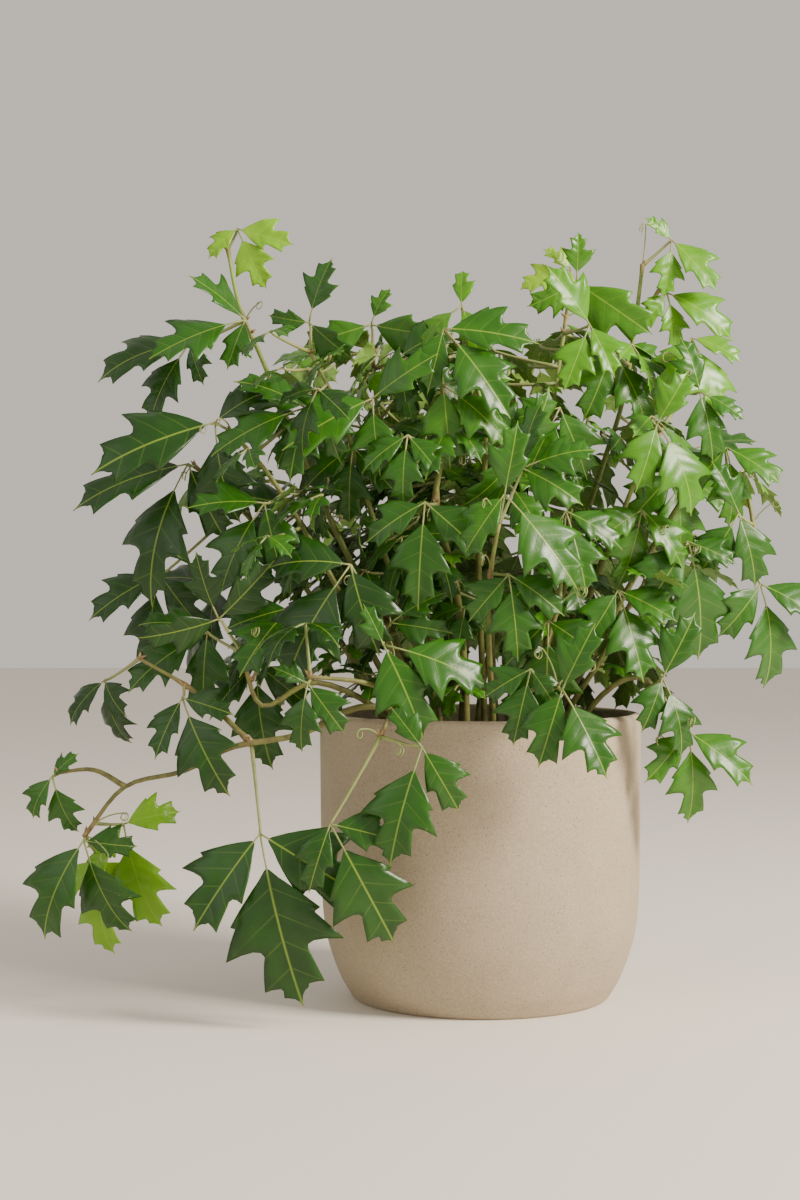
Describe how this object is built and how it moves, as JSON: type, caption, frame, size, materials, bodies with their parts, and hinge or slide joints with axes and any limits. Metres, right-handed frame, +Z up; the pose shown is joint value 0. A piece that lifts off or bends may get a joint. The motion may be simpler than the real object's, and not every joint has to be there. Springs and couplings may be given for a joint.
{
  "type": "potted grape ivy",
  "caption": "Bushy trailing plant with three-part lobed leaves on arching stems, rooted in potting mix in a round straight-sided planter with a rounded foot",
  "frame": {"origin": "centre of the planter's foot, on the surface it stands on", "axes": "+Z up along the planter's axis; -Y faces the viewer of the picture; +X to that viewer's right"},
  "size_m": [0.4873, 0.3646, 0.4864],
  "materials": {
    "pot": "matt, fine sandy speckle",
    "potting_mix": "dull, crumbly",
    "foliage": "satin leaf"
  },
  "bodies": {
    "root": {"pot": "pot", "potting_mix": "potting_mix", "stem_back_01": "foliage", "stem_back_02": "foliage", "stem_back_03": "foliage", "stem_back_04": "foliage", "stem_back_05": "foliage", "stem_back_06": "foliage", "stem_back_07": "foliage", "stem_back_08": "foliage", "stem_back_09": "foliage", "stem_centre": "foliage", "stem_front_centre": "foliage", "stem_front_left": "foliage", "stem_front_right": "foliage", "stem_front_rim": "foliage", "stem_left_high": "foliage", "stem_left_low": "foliage", "stem_left_middle": "foliage", "stem_right_arch": "foliage", "stem_right_high": "foliage", "stem_right_low": "foliage", "stem_right_middle": "foliage", "stem_right_outer": "foliage", "stem_right_top": "foliage", "stem_rim": "foliage", "stem_top_centre": "foliage", "stem_top_centre_left": "foliage", "stem_top_centre_right": "foliage", "stem_top_left": "foliage", "stem_trailing": "foliage"}
  },
  "joints": []
}
